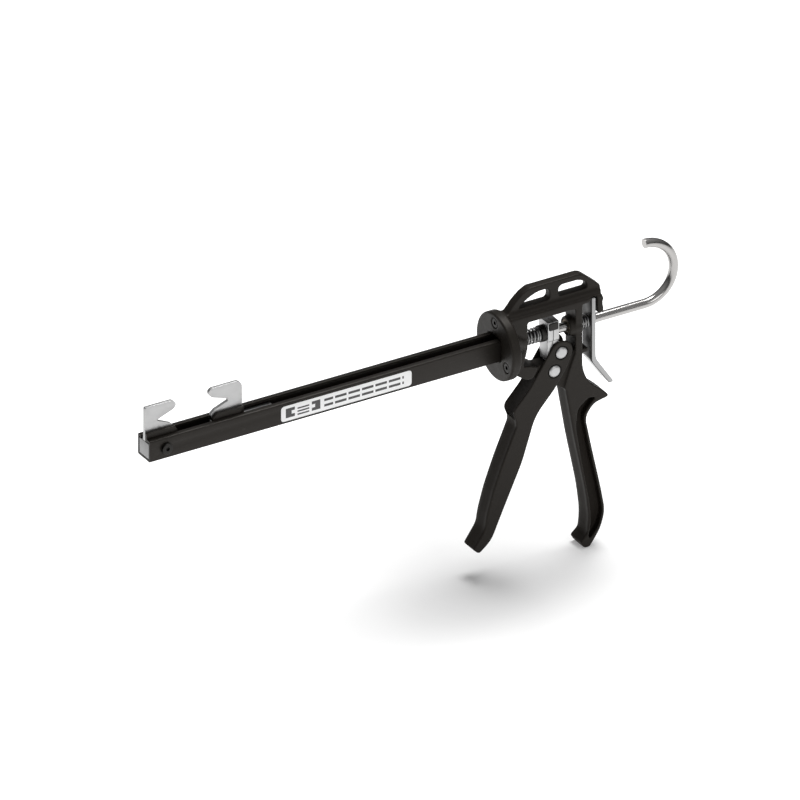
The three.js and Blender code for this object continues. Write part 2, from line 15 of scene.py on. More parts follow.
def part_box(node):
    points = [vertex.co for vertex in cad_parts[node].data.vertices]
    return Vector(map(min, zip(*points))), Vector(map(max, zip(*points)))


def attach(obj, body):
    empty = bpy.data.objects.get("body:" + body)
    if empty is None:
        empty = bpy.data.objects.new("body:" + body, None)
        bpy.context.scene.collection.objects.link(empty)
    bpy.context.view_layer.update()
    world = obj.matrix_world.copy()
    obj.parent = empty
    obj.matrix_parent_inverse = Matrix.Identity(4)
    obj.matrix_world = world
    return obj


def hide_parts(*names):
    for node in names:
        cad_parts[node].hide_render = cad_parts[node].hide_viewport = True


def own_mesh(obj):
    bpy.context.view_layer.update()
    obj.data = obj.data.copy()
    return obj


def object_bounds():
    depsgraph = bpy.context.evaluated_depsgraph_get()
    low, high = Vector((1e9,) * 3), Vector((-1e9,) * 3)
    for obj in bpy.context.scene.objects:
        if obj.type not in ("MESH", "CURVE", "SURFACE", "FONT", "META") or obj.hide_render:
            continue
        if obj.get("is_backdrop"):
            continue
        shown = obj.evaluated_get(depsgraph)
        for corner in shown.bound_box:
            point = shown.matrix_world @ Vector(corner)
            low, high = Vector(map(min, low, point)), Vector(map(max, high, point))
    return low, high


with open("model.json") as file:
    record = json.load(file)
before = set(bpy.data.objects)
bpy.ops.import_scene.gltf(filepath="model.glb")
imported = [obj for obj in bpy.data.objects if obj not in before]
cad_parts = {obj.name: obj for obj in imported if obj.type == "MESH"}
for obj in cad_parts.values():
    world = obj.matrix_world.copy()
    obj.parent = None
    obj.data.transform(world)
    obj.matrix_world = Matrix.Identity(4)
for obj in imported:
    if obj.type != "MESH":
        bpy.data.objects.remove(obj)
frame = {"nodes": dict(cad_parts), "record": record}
CAD_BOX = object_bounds()

# %% [markdown]
# Positions on the tool are easiest to say as the toolmaker would: millimetres along the rod from the front
# face of the round flange, and above the rod's axis. Two nodes of the frame give that corner of the drawing:
# the flange's front face and the middle height of the square tube.

# %% From the toolmaker's millimetres to the frame's metres
MM = 0.001
FLANGE_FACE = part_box("adapter_flange")[0].x
ROD_HEIGHT = (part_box("slotted_tube")[0].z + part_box("slotted_tube")[1].z) / 2


def at(x, y, z):
    """A point of the tool's own drawing, in the frame."""
    return Vector((FLANGE_FACE + x * MM, y * MM, ROD_HEIGHT + z * MM))


print("flange face at x =", round(FLANGE_FACE, 4), "and rod at z =", round(ROD_HEIGHT, 4))

# %% [markdown]
# The camera looks down the tool from its left front, and it is orthographic, so that parallel edges stay
# parallel as in a catalogue drawing. It aims a little to the lower left of the flange, towards the middle
# of the tool's outline.

# %% Camera
VIEW_WIDTH = 0.64
STAND_OFF = 4.0
AIM_LEFT, AIM_DOWN = 0.0755, 0.0426
look = Vector((0.4444, 0.7515, -0.4876)).normalized()
right = look.cross(Vector((0, 0, 1))).normalized()
up = right.cross(look)
aim = at(0, 0, 0) - AIM_LEFT * right - AIM_DOWN * up

camera = bpy.data.objects.new("camera", bpy.data.cameras.new("camera"))
bpy.context.collection.objects.link(camera)
camera.data.type = "ORTHO"
camera.data.ortho_scale = VIEW_WIDTH
camera.data.clip_end = 100
camera.location = aim - look * STAND_OFF
camera.rotation_mode = "QUATERNION"
camera.rotation_quaternion = look.to_track_quat("-Z", "Y")
bpy.context.scene.camera = camera
print("camera is", round((camera.location - aim).length, 2), "m from the tool")

# %% [markdown]
# Shader maths reads best as arithmetic, so one small class wraps a socket and turns `1 - mask` or
# `a * b` into Math nodes. Everything else, from a noise to the shader itself, comes from one method that
# takes the node's type, its settings and its inputs.

# %% A small language for materials
class Value:
    """A number that varies over a surface: one output socket, with arithmetic."""

    def __init__(self, net, socket):
        self.net, self.socket = net, socket

    def _math(self, operation, *values, clamp=False):
        settings = {"operation": operation, "use_clamp": clamp}
        return self.net.add("ShaderNodeMath", settings, dict(enumerate(values)))

    def __add__(self, other):
        return self._math("ADD", self, other)

    def __sub__(self, other):
        return self._math("SUBTRACT", self, other)

    def __rsub__(self, other):
        return self._math("SUBTRACT", other, self)

    def __mul__(self, other):
        return self._math("MULTIPLY", self, other)

    def __gt__(self, other):
        return self._math("GREATER_THAN", self, other)

    def __lt__(self, other):
        return self._math("LESS_THAN", self, other)

    def fract(self):
        return self._math("FRACT", self)

    def magnitude(self):
        return self._math("ABSOLUTE", self)

    def clamped(self):
        return self._math("ADD", self, 0.0, clamp=True)

    def ramp(self, low, high):
        """0 below low, 1 above high, and straight between them."""
        return ((self - low) * (1 / (high - low))).clamped()

    __radd__ = __add__
    __rmul__ = __mul__


class Net:
    """The node tree of one material, or of the world."""

    def __init__(self, name, kind=bpy.data.materials):
        self.owner = kind.new(name)
        self.owner.use_nodes = True
        self.tree = self.owner.node_tree
        self.tree.nodes.clear()

    def add(self, kind, settings=None, inputs=None, output=0):
        node = self.tree.nodes.new(kind)
        for name, value in (settings or {}).items():
            setattr(node, name, value)
        for name, value in (inputs or {}).items():
            if isinstance(value, Value):
                self.tree.links.new(value.socket, node.inputs[name])
            else:
                node.inputs[name].default_value = value
        return Value(self, node.outputs[output])

    def place(self):
        return self.add("ShaderNodeTexCoord", output="Object")

    def coordinate(self, axis, place=None):
        """One coordinate, x, y or z, of the piece's own place or of another vector."""
        inputs = {"Vector": place or self.place()}
        return self.add("ShaderNodeSeparateXYZ", {}, inputs, output="xyz".index(axis))

    def stretched(self, x, y, z):
        return self.add("ShaderNodeMapping", {}, {"Vector": self.place(), "Scale": (x, y, z)})

    def noise(self, scale, detail=2.0, vector=None):
        inputs = {"Vector": vector or self.place(), "Scale": scale, "Detail": detail}
        return self.add("ShaderNodeTexNoise", {}, inputs)

    def blend(self, factor, a, b):
        """From colour a to colour b."""
        inputs = {0: factor, 6: a, 7: b}
        return self.add("ShaderNodeMix", {"data_type": "RGBA"}, inputs, output=2)

    def bump(self, height, distance, strength=1.0):
        inputs = {"Height": height, "Distance": distance, "Strength": strength}
        return self.add("ShaderNodeBump", {}, inputs)

    def surface(self, **inputs):
        """The finished shader; an input's underscores stand for the spaces in its socket's name."""
        named = {name.replace("_", " "): value for name, value in inputs.items()}
        return self.end("ShaderNodeOutputMaterial", self.add("ShaderNodeBsdfPrincipled", {}, named))

    def end(self, kind, shader):
        node = self.tree.nodes.new(kind)
        self.tree.links.new(shader.socket, node.inputs["Surface"])
        return self.owner


def grey(level, warmth=0.0):
    """An RGBA of linear grey; warmth lifts red and lowers blue by that share."""
    return (level * (1 + warmth), level, level * (1 - warmth), 1.0)


print("materials are written with Net and Value")

# %% [markdown]
# The grip, trigger and flange are castings under semi-gloss black paint. Such paint follows the cast skin:
# a fine grain from the sand or die, a slow waviness, and a lighter look on proud edges, partly rubbed paint
# and partly a painted highlight, which the Geometry node's Pointiness finds on a dense mesh. The grain is
# bump only, because it is a few hundredths of a millimetre high. In the deep pockets of the grip and trigger
# the colour is darkened as painted shade and made matt, found by the distance from the tool's middle plane.
# A thin dark ring of painted shade is also laid in the recess round each rivet and each flange screw.

# %% Black paint on a casting
# Recesses that get a thin dark ring of painted shade: node, axis and radius in mm.
SHADED_SEATS = [
    ("pivot_rivet", "Y", 6.3), ("pusher_rivet", "Y", 6.3),
    ("flange_screw_1", "X", 4.9), ("flange_screw_2", "X", 4.9), ("flange_screw_3", "X", 4.9),
]
SEAT_REACH = 1.2
SEAT_FADE = (-0.5, 0.2)
POCKETS_FROM, POCKETS_FULL = -24, -40
POCKET_FLOOR, POCKET_RIM = 3.2, 7.2


def near_axis(net, node, axis, radius):
    """1 within radius mm of the node's own axis; screws along X only mark the flange's front."""
    low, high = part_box(node)
    middle = (low + high) / 2
    flat = {"X": (0.0, 1.0, 1.0), "Y": (1.0, 0.0, 1.0)}[axis]
    offset = net.add("ShaderNodeVectorMath", {"operation": "SUBTRACT"}, {0: net.place(), 1: middle})
    across = net.add("ShaderNodeVectorMath", {"operation": "MULTIPLY"}, {0: offset, 1: flat})
    distance = net.add("ShaderNodeVectorMath", {"operation": "LENGTH"}, {0: across}, output=1)
    start, end = [(radius + step) * MM for step in SEAT_FADE]
    inside = 1 - distance.ramp(start, end)
    if axis == "Y":
        return inside
    return inside * (net.coordinate("x") < FLANGE_FACE + SEAT_REACH * MM)


def cast_paint():
    net = Net("cast_black_paint")
    grain = net.noise(1500, 3.0)
    wave = net.noise(120, 2.0)
    mottle = net.noise(60, 4.0)
    # Proud edges are lightened: partly rubbed paint, partly a painted highlight.
    edge = net.add("ShaderNodeNewGeometry", output="Pointiness").ramp(0.53, 0.60)
    rub_and_highlight = edge * net.noise(350, 5.0).ramp(0.45, 0.7)
    depth = net.coordinate("y").magnitude()
    # Painted shade: the colour darkens in the deep pockets of the grip and trigger, which are also made matt.
    below = 1 - net.coordinate("z").ramp(ROD_HEIGHT + POCKETS_FULL * MM, ROD_HEIGHT + POCKETS_FROM * MM)
    pocket_shade = (1 - depth.ramp(POCKET_FLOOR * MM, POCKET_RIM * MM)) * below
    # Painted shade: a thin dark ring in the recess round each rivet and flange screw.
    seat_shade = sum(near_axis(net, *row) for row in SHADED_SEATS).clamped()
    paint = net.blend(mottle, grey(0.0062, 0.22), grey(0.0095, 0.20))
    # The lighter edges mix rubbed paint with a painted highlight.
    worn_and_highlit = net.blend(rub_and_highlight * 0.5, paint, grey(0.05, 0.06))
    # The pockets take their painted shade here.
    pocket_shaded = net.blend(pocket_shade * 0.8, worn_and_highlit, grey(0.006, 0.35))
    # The rings of painted shade go on here.
    colour = net.blend(seat_shade * 0.85, pocket_shaded, grey(0.0015, 0.10))
    return net.surface(
        Base_Color=colour,
        Roughness=0.42 + mottle * 0.10 - rub_and_highlight * 0.08 + pocket_shade * 0.22 + seat_shade * 0.3,
        Metallic=0.0,
        Specular_IOR_Level=0.20,
        Specular_Tint=grey(0.95, 0.06),
        Normal=net.bump(grain * 0.25 + wave, 0.00025, 0.7),
    )


CAST_PAINT = cast_paint()
print("made", CAST_PAINT.name)

# %% [markdown]
# The square tube and the two cheek plates are sheet and drawn steel under the same black, but their skin is
# smoother: only a faint orange peel, thin drawing lines along the tube, and small scuffs.

# %% Black paint on drawn steel
def tube_paint():
    net = Net("drawn_black_paint")
    peel = net.noise(700, 2.0)
    lines = net.noise(90, 4.0, net.stretched(0.4, 9, 9))
    scuff = net.noise(240, 6.0, net.stretched(0.5, 2, 2)).ramp(0.64, 0.74)
    base = net.blend(lines, grey(0.0080, 0.18), grey(0.0115, 0.16))
    return net.surface(
        Base_Color=net.blend(scuff * 0.25, base, grey(0.055, 0.06)),
        Roughness=0.36 + lines * 0.10 + scuff * 0.12,
        Metallic=0.0,
        Specular_IOR_Level=0.22,
        Specular_Tint=grey(0.95, 0.06),
        Normal=net.bump(peel * 0.6 + lines * 0.4, 0.0001, 0.5),
    )


TUBE_PAINT = tube_paint()
print("made", TUBE_PAINT.name)

# %% [markdown]
# One recipe makes seven metals. The rod is chromed, so it needs only hair-fine lines along it and a trace of
# handling. Hook plates, drive plates, pins and rivets are zinc plated: satin, with a cloudy passivated skin.
# The two guide blocks are machined alloy with visible tool lines, the roller is polished, the screws, the
# clip and the collar are blackened, the bushes are oiled bronze, and the springs are plain spring steel.

# %% Seven metals
def bright_metal(name, level, roughness, lines, cloud, grain, warmth=0.0):
    """lines stretches the tool marks; cloud and grain say how strong the skin and the marks are."""
    net = Net(name)
    marks = net.noise(260, 5.0, net.stretched(*lines))
    skin = net.noise(85, 4.0)
    fine = net.noise(1900, 2.0)
    colour = net.blend(skin * cloud, grey(level, warmth), grey(level * 0.80, warmth))
    return net.surface(
        Base_Color=colour,
        Metallic=1.0,
        Roughness=roughness + skin * cloud * 0.12 + marks * grain * 0.16,
        Normal=net.bump(marks + fine * 0.4, 0.00005 * grain, 0.6),
    )


CHROME = bright_metal("polished_chrome", 0.38, 0.17, (0.3, 8, 8), 0.3, 0.25, 0.02)
ZINC = bright_metal("satin_zinc", 0.48, 0.36, (1, 1, 6), 0.5, 0.8)
ALLOY = bright_metal("machined_alloy", 0.35, 0.42, (8, 1, 1), 0.6, 1.0)
POLISHED = bright_metal("polished_steel", 0.66, 0.10, (1, 6, 1), 0.35, 0.3)
BLACKENED = bright_metal("blackened_steel", 0.032, 0.36, (2, 2, 2), 0.7, 0.8, 0.04)
BRONZE = bright_metal("oiled_bronze", 0.10, 0.42, (1, 1, 1), 0.8, 1.0, 0.25)
SPRING_STEEL = bright_metal("spring_steel", 0.30, 0.28, (2, 2, 2), 0.6, 0.5)
print("made seven metals")

# %% [markdown]
# The release lever is polished strip. Its front flat, where it bears on the casting and the spring, is
# painted near-black and matt as a painted dark reflection of the casting; only the bent thumb tab, the back
# and the edges are bright. The change follows the piece's own coordinates: a thin layer behind the front
# face, above the bend.

# %% Polished strip with a painted dark reflection on its front
PAINTED_REFLECTION_DEPTH = 0.45
LEVER_BEND = -33.5


def lever_metal():
    net = Net("lever_steel")
    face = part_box("release_lever")[0].x
    x, z = net.coordinate("x"), net.coordinate("z")
    # Painted dark reflection on the front flat, above the bend.
    front = (x < face + PAINTED_REFLECTION_DEPTH * MM) * (z > ROD_HEIGHT + LEVER_BEND * MM)
    marks = net.noise(260, 5.0, net.stretched(1, 6, 1))
    skin = net.noise(85, 4.0)
    bright = net.blend(skin * 0.4, grey(0.31), grey(0.26))
    return net.surface(
        # The front flat is painted near-black, less metallic and rougher: a painted dark reflection.
        Base_Color=net.blend(front, bright, grey(0.012, 0.15)),
        Metallic=1.0 - front * 0.9,
        Roughness=0.16 + skin * 0.06 + marks * 0.06 + front * 0.24,
        Normal=net.bump(marks, 0.00002, 0.5),
    )


LEVER_STEEL = lever_metal()
print("made", LEVER_STEEL.name)

# %% [markdown]
# The tube carries a white film label. Its print is generic: two notched blocks with a few stripes between
# them at one end, and two rows of short rules where lines of print would stand. They are made from the
# surface's own coordinates with comparisons, so no picture is needed.

# %% Printed film
BLOCK_ROWS = (0.20, 0.82)
NOTCH_ROWS = (0.40, 0.62)
RULE_ROWS = [(0.24, 0.40), (0.60, 0.76)]
STRIPES = 5.0
RULES = 9.7


def label_film():
    net = Net("printed_film")
    low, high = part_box("tube_label")
    across = (net.coordinate("x") - low.x) * (1 / (high.x - low.x))
    height = (net.coordinate("z") - low.z) * (1 / (high.z - low.z))

    def band(value, start, end):
        return (value > start) * (value < end)

    def notched(block, notch):
        """A block over one share of the label's length, with a notch over another."""
        gap = band(across, *notch) * band(height, *NOTCH_ROWS)
        return band(across, *block) * band(height, *BLOCK_ROWS) * (1 - gap)

    blocks = notched((0.035, 0.105), (0.08, 0.2)) + notched((0.235, 0.300), (0.1, 0.26))
    stripes = band(across, 0.125, 0.215) * band((height * STRIPES).fract(), 0.0, 0.5) * band(height, 0.2, 0.8)
    rules = band((across * RULES).fract(), 0.0, 0.86) * band(across, 0.33, 0.94)
    rows = sum(band(height, *row) for row in RULE_ROWS)
    ink = (blocks + stripes + rules * rows).clamped()
    speckle = net.noise(2600, 2.0)
    return net.surface(
        Base_Color=net.blend(ink * (0.92 + speckle * 0.08), grey(0.88), grey(0.006)),
        Roughness=0.36 + speckle * 0.08,
        Coat_Weight=0.1,
        Normal=net.bump(net.noise(320, 2.0), 0.00004, 0.3),
    )


FILM = label_film()
print("made", FILM.name)

# %% [markdown]
# Every finished piece goes through the same last steps: take its finish and its smooth shading, hide the
# plain piece it stands for, and ride on the body that carries it. One function does that, so nothing is
# forgotten. Doubles are merged before that, and most pieces have their faces turned outwards by cleaned.

# %% Finishing a piece
BODY_OF = {node: body for body, nodes in frame["record"]["behaviour"]["bodies"].items() for node in nodes}
MERGE = 1e-6
SMOOTH_ANGLE = math.radians(38)


def cleaned(mesh):
    """The mesh with doubles merged and faces outwards."""
    work = bmesh.new()
    work.from_mesh(mesh)
    bmesh.ops.remove_doubles(work, verts=work.verts, dist=MERGE)
    bmesh.ops.recalc_face_normals(work, faces=work.faces)
    work.to_mesh(mesh)
    work.free()
    return mesh


def evaluated(piece):
    """A plain mesh of the piece with its modifiers applied; the modifiers are then removed."""
    bpy.context.view_layer.update()
    graph = bpy.context.evaluated_depsgraph_get()
    mesh = bpy.data.meshes.new_from_object(piece.evaluated_get(graph))
    piece.modifiers.clear()
    return mesh


def finished(name, mesh, material, nodes, smooth_all=False):
    """The piece that stands for these nodes, riding on their body."""
    mesh.name = name
    mesh.materials.clear()
    mesh.materials.append(material)
    mesh.shade_smooth()
    if not smooth_all:
        mesh.set_sharp_from_angle(angle=SMOOTH_ANGLE)
    piece = bpy.data.objects.new(name, mesh)
    bpy.context.collection.objects.link(piece)
    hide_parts(*nodes)
    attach(piece, BODY_OF[nodes[0]])
    print(name, "has", sum(len(face.vertices) - 2 for face in mesh.polygons), "triangles")
    return piece


# %% [markdown]
# A casting has no sharp edge anywhere: the pattern needs radii to leave the mould. A voxel remesh followed
# by a few rounds of smoothing rounds every edge and fills every inner corner by about a millimetre, which
# is just what a fillet in the pattern does. The flange and the grip are one casting to the eye, so they
# are joined first, and the remesh closes the hairline between them.

# %% Castings
def casting(name, nodes, voxel, rounds):
    """One smooth skin over several nodes; voxel and rounds set how soft its edges are."""
    work = bmesh.new()
    for node in nodes:
        work.from_mesh(frame["nodes"][node].data)
    mesh = bpy.data.meshes.new(name)
    work.to_mesh(mesh)
    work.free()
    draft = bpy.data.objects.new(name + "_draft", cleaned(mesh))
    bpy.context.collection.objects.link(draft)
    remesh = draft.modifiers.new("skin", "REMESH")
    remesh.mode = "VOXEL"
    remesh.voxel_size = voxel
    soften = draft.modifiers.new("soften", "SMOOTH")
    soften.factor = 0.5
    soften.iterations = rounds
    skin = evaluated(draft)
    bpy.data.objects.remove(draft)
    finished(name, skin, CAST_PAINT, nodes, smooth_all=True)


casting("grip_casting", ["pistol_frame", "adapter_flange"], 0.75 * MM, 4)
casting("trigger_casting", ["trigger"], 0.55 * MM, 6)

# %% [markdown]
# Plates, blocks and the square tube are cut and drawn from stock, so they keep flat faces and get a small
# bevel that catches the light. A bevel modifier on a merged copy does it: merging first matters, because
# a bevel needs faces that share their edges.

# %% Pieces with bevelled edges
FLAT = math.radians(0.5)
CREASE = math.radians(35)


def bevelled(node, material, width):
    """The node's own shape with its edges bevelled by width mm."""
    mesh = frame["nodes"][node].data.copy()
    work = bmesh.new()
    work.from_mesh(mesh)
    bmesh.ops.remove_doubles(work, verts=work.verts, dist=MERGE)
    bmesh.ops.dissolve_limit(work, angle_limit=FLAT, verts=work.verts, edges=work.edges)
    work.to_mesh(mesh)
    work.free()
    draft = bpy.data.objects.new(node + "_draft", mesh)
    bpy.context.collection.objects.link(draft)
    bevel = draft.modifiers.new("edge", "BEVEL")
    bevel.width = width * MM
    bevel.segments = 3
    bevel.limit_method = "ANGLE"
    bevel.angle_limit = CREASE
    bevel.use_clamp_overlap = True
    shape = evaluated(draft)
    bpy.data.objects.remove(draft)
    finished(node + "_piece", shape, material, [node])


for node, material, width in [
    ("slotted_tube", TUBE_PAINT, 0.35),
    ("tube_label", FILM, 0.08),
    ("anchor_block", ALLOY, 0.35),
    ("slide_block", ALLOY, 0.35),
    ("front_hook", ZINC, 0.3),
    ("moving_hook", ZINC, 0.3),
    ("front_hook_cheek", TUBE_PAINT, 0.35),
    ("moving_hook_cheek", TUBE_PAINT, 0.35),
    ("drive_plate_front", ZINC, 0.35),
    ("drive_plate_rear", ZINC, 0.35),
    ("plate_clip", BLACKENED, 0.25),
    ("release_lever", LEVER_STEEL, 0.4),
]:
    bevelled(node, material, width)

# %% [markdown]
# Rivets, screws, pins, bushes, the roller and the collar are all turned: a profile swept round an axis.
# One Geometry Nodes tree does them. It takes the profile as a chain of points and bends a grid round the
# axis, each row of the grid reading its radius and height from one point of the chain. An optional hexagon
# is then cut down the axis for a socket. Merging closes the seam and the poles.

# %% A tree that turns a profile
class Tree:
    """A Geometry Nodes tree with named inputs."""

    def __init__(self, name, kinds):
        self.group = bpy.data.node_groups.new(name, "GeometryNodeTree")
        face = self.group.interface
        face.new_socket("Geometry", in_out="INPUT", socket_type="NodeSocketGeometry")
        for label, kind in kinds.items():
            face.new_socket(label, in_out="INPUT", socket_type="NodeSocket" + kind)
        face.new_socket("Geometry", in_out="OUTPUT", socket_type="NodeSocketGeometry")
        self.start = self.group.nodes.new("NodeGroupInput")

    def given(self, label):
        return self.start.outputs[label]

    def node(self, kind, settings=None, inputs=None):
        made = self.group.nodes.new(kind)
        for name, value in (settings or {}).items():
            setattr(made, name, value)
        for name, value in (inputs or {}).items():
            if isinstance(value, bpy.types.NodeSocket):
                self.group.links.new(value, made.inputs[name])
            else:
                made.inputs[name].default_value = value
        return made

    def math(self, operation, *values):
        inputs = dict(enumerate(values))
        return self.node("ShaderNodeMath", {"operation": operation}, inputs).outputs[0]

    def finish(self, geometry):
        real = self.node("GeometryNodeRealizeInstances", {}, {"Geometry": geometry}).outputs[0]
        coloured = self.node("GeometryNodeSetMaterial", {}, {
            "Geometry": real, "Material": self.given("Finish"),
        })
        end = self.group.nodes.new("NodeGroupOutput")
        self.group.links.new(coloured.outputs[0], end.inputs[0])
        return self.group


def grown(name, tree, mesh, values):
    """The mesh that a tree makes from a starting mesh, with its named inputs set by identifier."""
    draft = bpy.data.objects.new(name + "_draft", mesh)
    bpy.context.collection.objects.link(draft)
    modifier = draft.modifiers.new("grow", "NODES")
    modifier.node_group = tree
    for item in tree.interface.items_tree:
        if item.item_type == "SOCKET" and item.in_out == "INPUT" and item.name in values:
            modifier[item.identifier] = values[item.name]
    shape = evaluated(draft)
    bpy.data.objects.remove(draft)
    return cleaned(shape)


SEGMENTS = 64
HEXAGON_LENGTH = 0.02


def turning_tree():
    tree = Tree("turned_piece", {
        "Rows": "Int", "Segments": "Int", "Socket Radius": "Float", "Socket Floor": "Float",
        "Finish": "Material",
    })
    rows, segments = tree.given("Rows"), tree.given("Segments")
    ring = tree.math("ADD", segments, 1.0)
    sheet = tree.node("GeometryNodeMeshGrid", {}, {"Vertices X": rows, "Vertices Y": ring}).outputs["Mesh"]
    index = tree.node("GeometryNodeInputIndex").outputs[0]
    row = tree.math("FLOOR", tree.math("DIVIDE", tree.math("ADD", index, 0.5), ring))
    column = tree.math("SUBTRACT", index, tree.math("MULTIPLY", row, ring))
    turn = tree.math("DIVIDE", tree.math("MULTIPLY", column, 2 * math.pi), segments)
    position = tree.node("GeometryNodeInputPosition").outputs[0]
    sample = tree.node("GeometryNodeSampleIndex", {"data_type": "FLOAT_VECTOR"}, {
        "Geometry": tree.given("Geometry"), "Value": position, "Index": row,
    })
    split = tree.node("ShaderNodeSeparateXYZ", {}, {0: sample.outputs[0]})
    radius, height = split.outputs[0], split.outputs[2]
    place = tree.node("ShaderNodeCombineXYZ", {}, {
        0: tree.math("MULTIPLY", radius, tree.math("COSINE", turn)),
        1: tree.math("MULTIPLY", radius, tree.math("SINE", turn)),
        2: height,
    })
    wrapped = tree.node("GeometryNodeSetPosition", {}, {"Geometry": sheet, "Position": place.outputs[0]})
    closed = tree.node("GeometryNodeMergeByDistance", {}, {
        "Geometry": wrapped.outputs[0], "Distance": MERGE,
    })
    hexagon = tree.node("GeometryNodeMeshCylinder", {}, {
        "Vertices": 6, "Radius": tree.given("Socket Radius"), "Depth": HEXAGON_LENGTH,
    })
    middle = tree.math("ADD", tree.given("Socket Floor"), HEXAGON_LENGTH / 2)
    lift = tree.node("ShaderNodeCombineXYZ", {}, {2: middle})
    placed = tree.node("GeometryNodeTransform", {}, {
        "Geometry": hexagon.outputs["Mesh"], "Translation": lift.outputs[0],
    })
    carved = tree.node("GeometryNodeMeshBoolean", {"operation": "DIFFERENCE", "solver": "EXACT"}, {
        "Mesh 1": closed.outputs[0], "Mesh 2": placed.outputs[0],
    })
    wants = tree.math("GREATER_THAN", tree.given("Socket Radius"), 0.0)
    chosen = tree.node("GeometryNodeSwitch", {"input_type": "GEOMETRY"}, {
        "Switch": wants, "False": closed.outputs[0], "True": carved.outputs[0],
    })
    return tree.finish(chosen.outputs[0])


TURNING = turning_tree()
print("the turning tree has", len(TURNING.nodes), "nodes")

# %% [markdown]
# A profile is given as corners in millimetres, radius first, then height along the axis. Each corner can
# be rounded, and three short steps are enough for an edge that a finger could feel. The axis is a frame
# direction and the piece's own place on the tool.

# %% Turned pieces
CORNER_STEPS = 3
CUT_SHARE = 0.45


def rounded(corners, radius):
    """The chain of corners with each inner corner rounded off by radius."""
    chain = [Vector(corners[0])]
    for before, corner, after in zip(corners, corners[1:], corners[2:]):
        corner, before, after = Vector(corner), Vector(before), Vector(after)
        cut = min(radius, CUT_SHARE * (corner - before).length, CUT_SHARE * (after - corner).length)
        start = corner + (before - corner).normalized() * cut
        end = corner + (after - corner).normalized() * cut
        for step in range(CORNER_STEPS + 1):
            t = step / CORNER_STEPS
            chain.append(start.lerp(corner, t).lerp(corner.lerp(end, t), t))
    return chain + [Vector(corners[-1])]


QUARTER = math.radians(90)
AXES = {
    "X": Matrix.Rotation(QUARTER, 4, "Y"),
    "-X": Matrix.Rotation(-QUARTER, 4, "Y"),
    "-Y": Matrix.Rotation(QUARTER, 4, "X"),
}


def turned(name, node, material, corners, axis, place, edge=0.25, socket=None):
    """corners are (radius, height) along the axis from place, closed when first and last are the same."""
    chain = rounded(corners, edge)
    mesh = bpy.data.meshes.new(name)
    points = [(r * MM, 0, h * MM) for r, h in chain]
    mesh.from_pydata(points, [(i, i + 1) for i in range(len(points) - 1)], [])
    hexagon, floor = socket or (0.0, 0.0)
    values = {
        "Rows": len(points), "Segments": SEGMENTS, "Finish": material,
        "Socket Radius": hexagon * MM, "Socket Floor": floor * MM,
    }
    shape = grown(name, TURNING, mesh, values)
    shape.transform(Matrix.Translation(place) @ AXES[axis])
    finished(name, cleaned(shape), material, [node])


def reach(node, axis):
    """How far the node runs along an axis, as two numbers in millimetres on the tool's drawing."""
    low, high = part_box(node)
    origin = at(0, 0, 0)
    index = "xyz".index(axis)
    return [round((corner[index] - origin[index]) / MM, 3) for corner in (low, high)]


print("the pivot rivet runs from", reach("pivot_rivet", "y"), "mm")

# %% [markdown]
# The trigger turns on the lower rivet, and the upper one carries the roller that drives the plates. Both
# have low domed heads with a flat crown, set in a shallow seat.

# %% Rivets and the roller
HEAD = 5.1
SHANK = 3.0
SEAT = 7.7
CROWN = 9.3


def rivet(name, node):
    middle = (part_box(node)[0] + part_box(node)[1]) / 2
    dome = [
        (0, CROWN), (2.6, CROWN), (3.7, CROWN - 0.15), (4.6, CROWN - 0.6), (HEAD, CROWN - 1.1), (HEAD, SEAT),
    ]
    under = [(SHANK, SEAT), (SHANK, -SEAT)]
    corners = dome + under + [(r, -h) for r, h in reversed(dome)]
    turned(name, node, ZINC, corners, "-Y", middle, 0.2)


rivet("pivot_rivet_piece", "pivot_rivet")
rivet("pusher_rivet_piece", "pusher_rivet")

roller_low, roller_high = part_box("pusher_roller")
ROLLER = (roller_high.z - roller_low.z) / 2 / MM
half = (roller_high.y - roller_low.y) / 2 / MM
BORE = 3.3
turned(
    "roller_piece", "pusher_roller", POLISHED,
    [(BORE, 0), (BORE, half), (ROLLER, half), (ROLLER, -half), (BORE, -half), (BORE, 0)],
    "-Y", (roller_low + roller_high) / 2, 0.4,
)

# %% [markdown]
# The bushes, the collar in front of the drive plates and the pins are plain turned rings and bars. Their
# lengths come from the frame, so they always fill the room that was made for them.

# %% Rings and pins
def ring(name, node, material, outer, inner, edge):
    start, end = reach(node, "x")
    corners = [(inner, (start + end) / 2), (inner, end), (outer, end), (outer, start), (inner, start)]
    turned(name, node, material, corners + corners[:1], "X", at(0, 0, 0), edge)


for name, node, material, outer, inner, edge in [
    ("front_bush_piece", "front_bush", BRONZE, 6.0, 4.25, 0.3),
    ("rear_bush_piece", "rear_bush", BRONZE, 6.0, 4.25, 0.3),
    ("collar_piece", "spring_collar", BLACKENED, 7.0, 4.4, 0.5),
]:
    ring(name, node, material, outer, inner, edge)


def pin(name, node, radius):
    low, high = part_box(node)
    half = (high.y - low.y) / 2 / MM
    corners = [(0, half), (radius, half), (radius, -half), (0, -half)]
    turned(name, node, ZINC, corners, "-Y", (low + high) / 2, 0.3)


pin("rod_end_pin_piece", "rod_end_pin", 1.6)
pin("moving_hook_pin_piece", "moving_hook_pin", 2.0)

# %% [markdown]
# Socket screws hold the flange, the fixed hook and the front bush. Each is a turned head and shank with a
# hexagon cut into its crown.

